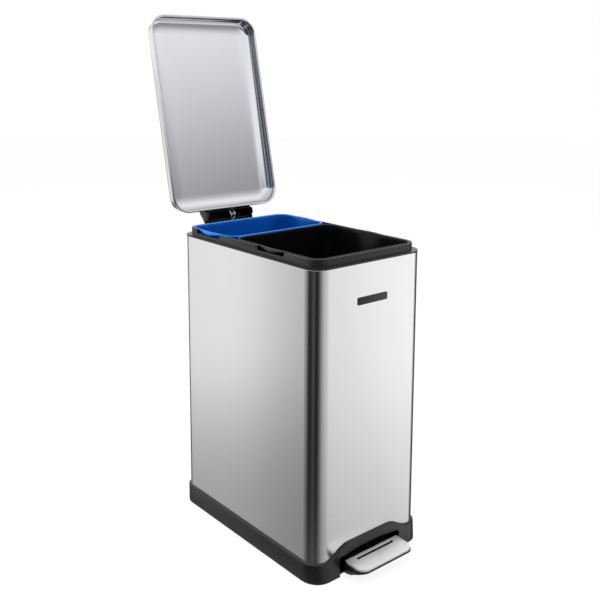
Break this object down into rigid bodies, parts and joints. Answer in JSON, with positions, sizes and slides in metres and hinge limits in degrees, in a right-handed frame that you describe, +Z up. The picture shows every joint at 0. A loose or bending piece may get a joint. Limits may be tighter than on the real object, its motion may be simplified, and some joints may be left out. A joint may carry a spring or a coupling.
{
  "type": "double recycling bin",
  "caption": "Tall slim steel pedal bin with a hinged lid standing open over lift-out buckets, blue behind and black in front.",
  "frame": {"origin": "on the floor, under the middle of the steel body's footprint", "axes": "+Z up, front and pedal at -Y, +X to the right seen from the front"},
  "size_m": [0.27, 0.591, 0.9951],
  "materials": {
    "brushed_steel": "fine level brushing, satin, fingerprint-resistant",
    "lid_steel": "smooth satin with a bright rolled bead",
    "hardware": "plated steel",
    "black_plastic": "semi-gloss fine grain",
    "blue_plastic": "satin moulded",
    "rubber": "matt"
  },
  "bodies": {
    "bin_body": {"outer_body": "brushed_steel", "hinge_pin": "hardware", "hinge_pin_clip": "hardware", "pedal_bracket": "hardware", "pedal_pin": "hardware", "bracket_screw_1": "hardware", "bracket_screw_2": "hardware", "bracket_screw_3": "hardware", "bracket_screw_4": "hardware", "cover_screw_1": "hardware", "cover_screw_2": "hardware", "cover_screw_3": "hardware", "cover_screw_4": "hardware", "pedal_bracket_rivet_1": "hardware", "pedal_bracket_rivet_2": "hardware", "base": "black_plastic", "bottom_cover": "black_plastic", "collar": "black_plastic", "badge_plate": "black_plastic", "hinge_bracket": "black_plastic", "rod_guide_upper": "black_plastic", "rod_guide_lower": "black_plastic", "grip_pad_1": "rubber", "grip_pad_2": "rubber", "grip_pad_3": "rubber", "grip_pad_4": "rubber"},
    "lid": {"lid_pan": "lid_steel", "hinge_cover": "black_plastic", "lid_lever": "hardware", "lid_rivet_1": "hardware", "lid_rivet_2": "hardware", "lid_rivet_3": "hardware", "lid_rivet_4": "hardware"},
    "pedal": {"pedal_tread": "brushed_steel", "pedal_tray": "black_plastic", "pedal_bar": "hardware", "pedal_screw_1": "hardware", "pedal_screw_2": "hardware"},
    "push_rod": {"push_rod": "hardware", "rod_clip": "hardware"},
    "blue_bucket": {"blue_bucket": "blue_plastic"},
    "black_bucket": {"black_bucket": "black_plastic"}
  },
  "joints": [
    {"name": "lid_hinge", "type": "hinge", "parent": "bin_body", "child": "lid", "pos_m": [0, 0.2256, 0.5733], "axis": [1, 0, 0], "range_deg": [0, 102.1]},
    {"name": "pedal_hinge", "type": "hinge", "parent": "bin_body", "child": "pedal", "pos_m": [0, -0.125, 0.0246], "axis": [1, 0, 0], "range_deg": [-4.1, 0]},
    {"name": "push_rod_slide", "type": "slide", "parent": "bin_body", "child": "push_rod", "axis": [0, 0, 1], "range_m": [-0.02286, 0]},
    {"name": "blue_bucket_lift", "type": "slide", "parent": "bin_body", "child": "blue_bucket", "axis": [0, 0, 1], "range_m": [0, 0.56]},
    {"name": "black_bucket_lift", "type": "slide", "parent": "bin_body", "child": "black_bucket", "axis": [0, 0, 1], "range_m": [0, 0.56]}
  ],
  "couplings": [
    {"joint": "pedal_hinge", "follows": "lid_hinge", "ratio": -0.039964},
    {"joint": "push_rod_slide", "follows": "lid_hinge", "m_per_rad": -0.012774}
  ]
}
